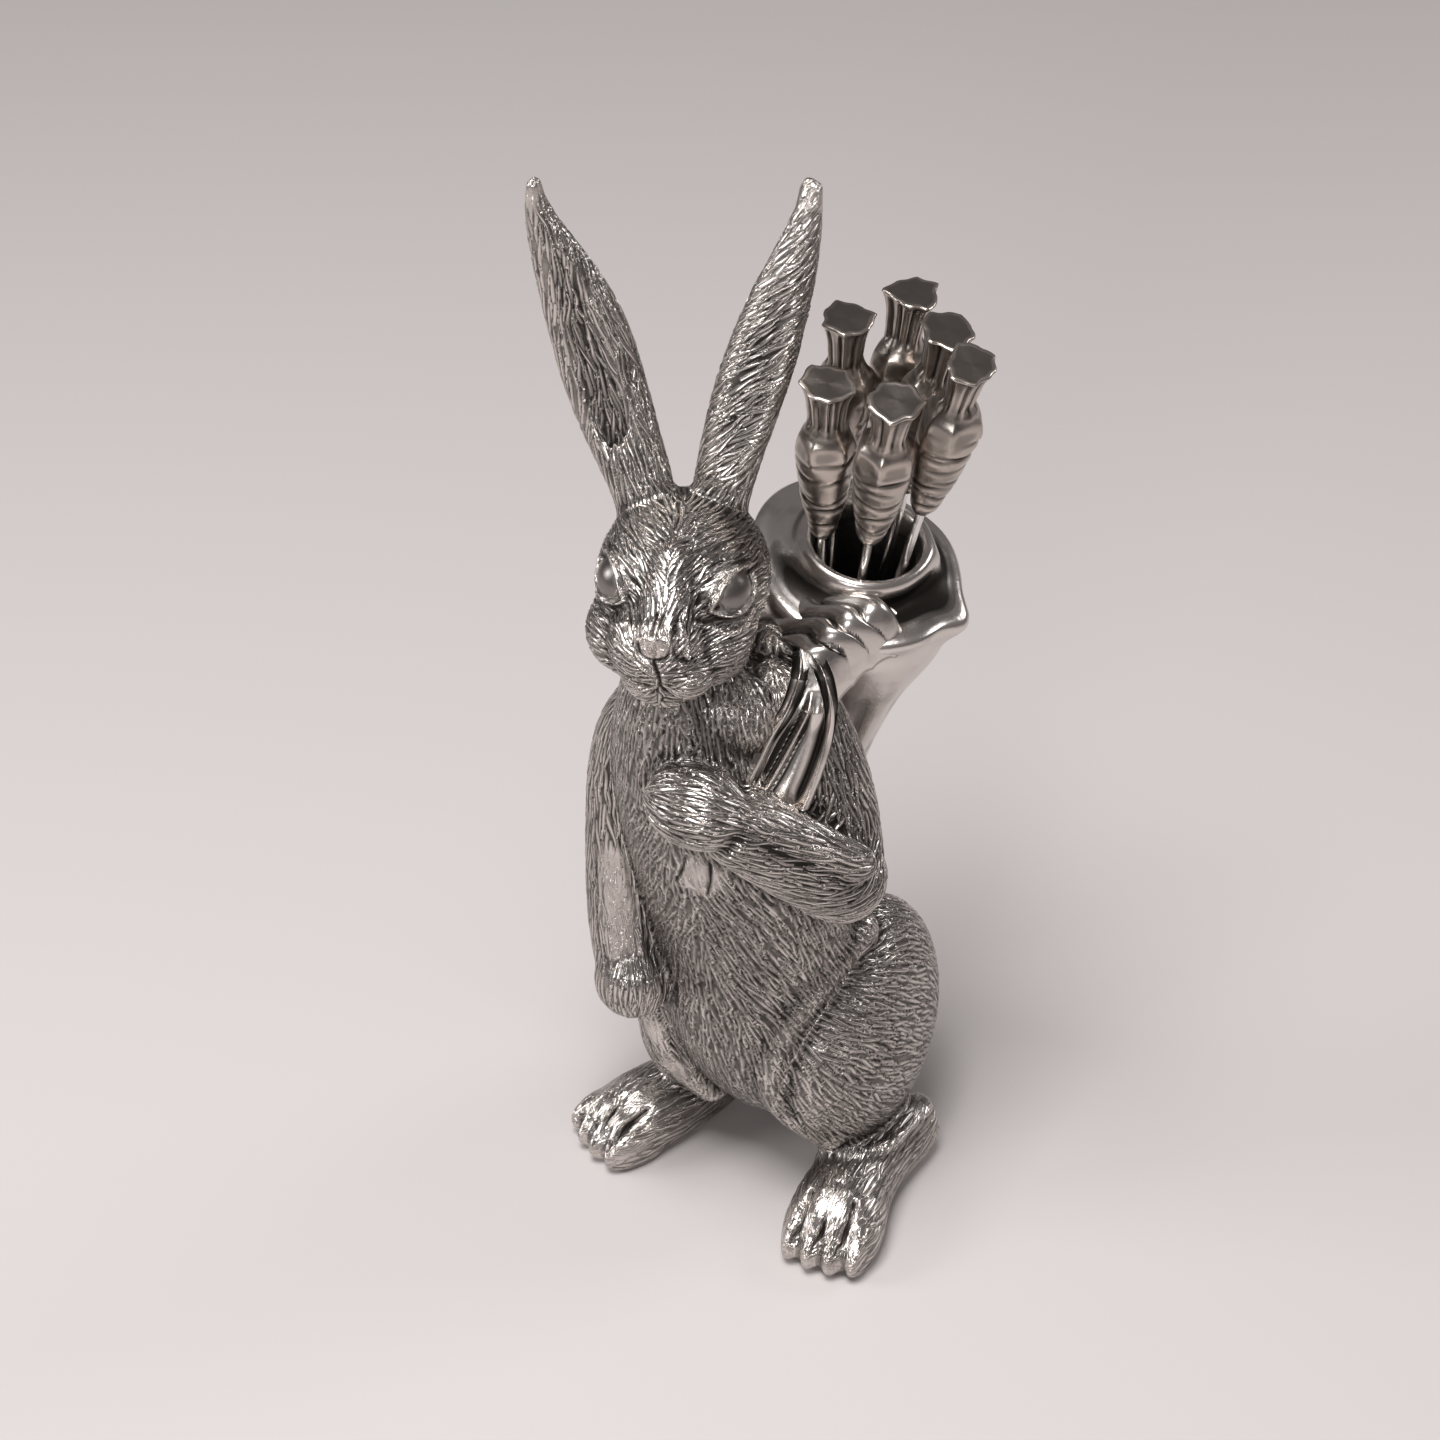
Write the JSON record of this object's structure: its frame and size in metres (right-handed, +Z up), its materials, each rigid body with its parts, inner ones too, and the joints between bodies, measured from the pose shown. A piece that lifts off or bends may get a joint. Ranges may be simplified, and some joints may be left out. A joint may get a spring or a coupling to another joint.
{
  "type": "cocktail pick holder figurine",
  "caption": "Standing hare figurine in cast pewter, with a sack over its shoulder that holds carrot-handled cocktail picks.",
  "frame": {"origin": "on the table surface, under the middle of the object's box", "axes": "+Z up, the hare's chest faces -Y, its left side is +X"},
  "size_m": [0.0713, 0.068, 0.1899],
  "materials": {
    "pewter_fur": "cast pewter with engraved fur, dark patina in the grooves, bright on the ridges",
    "pewter_polished": "smooth polished pewter with dark patina in the folds",
    "pewter_dark": "cast pewter, slightly darker and warmer",
    "steel_pin": "drawn stainless steel wire"
  },
  "bodies": {
    "hare": {"torso": "pewter_fur", "head": "pewter_fur", "right_ear": "pewter_fur", "left_ear": "pewter_fur", "right_arm": "pewter_fur", "left_arm": "pewter_fur", "left_haunch": "pewter_fur", "right_haunch": "pewter_fur", "left_foot": "pewter_fur", "right_foot": "pewter_fur", "tail": "pewter_fur", "sack": "pewter_polished", "shoulder_cloth": "pewter_polished"},
    "pick_1": {"carrot_1": "pewter_dark", "pin_1": "steel_pin"},
    "pick_2": {"carrot_2": "pewter_dark", "pin_2": "steel_pin"},
    "pick_3": {"carrot_3": "pewter_dark", "pin_3": "steel_pin"},
    "pick_4": {"carrot_4": "pewter_dark", "pin_4": "steel_pin"},
    "pick_5": {"carrot_5": "pewter_dark", "pin_5": "steel_pin"},
    "pick_6": {"carrot_6": "pewter_dark", "pin_6": "steel_pin"}
  },
  "joints": [
    {"name": "pick_1_pull", "type": "slide", "parent": "hare", "child": "pick_1", "axis": [0.1063, -0.1883, 0.9763], "range_m": [0, 0.055]},
    {"name": "pick_2_pull", "type": "slide", "parent": "hare", "child": "pick_2", "axis": [0.2157, -0.2039, 0.9549], "range_m": [0, 0.055]},
    {"name": "pick_3_pull", "type": "slide", "parent": "hare", "child": "pick_3", "axis": [0.2763, -0.1321, 0.952], "range_m": [0, 0.055]},
    {"name": "pick_4_pull", "type": "slide", "parent": "hare", "child": "pick_4", "axis": [0.216, -0.0643, 0.9743], "range_m": [0, 0.055]},
    {"name": "pick_5_pull", "type": "slide", "parent": "hare", "child": "pick_5", "axis": [0.1378, -0.0094, 0.9904], "range_m": [0, 0.055]},
    {"name": "pick_6_pull", "type": "slide", "parent": "hare", "child": "pick_6", "axis": [0.0844, -0.0913, 0.9922], "range_m": [0, 0.055]}
  ]
}
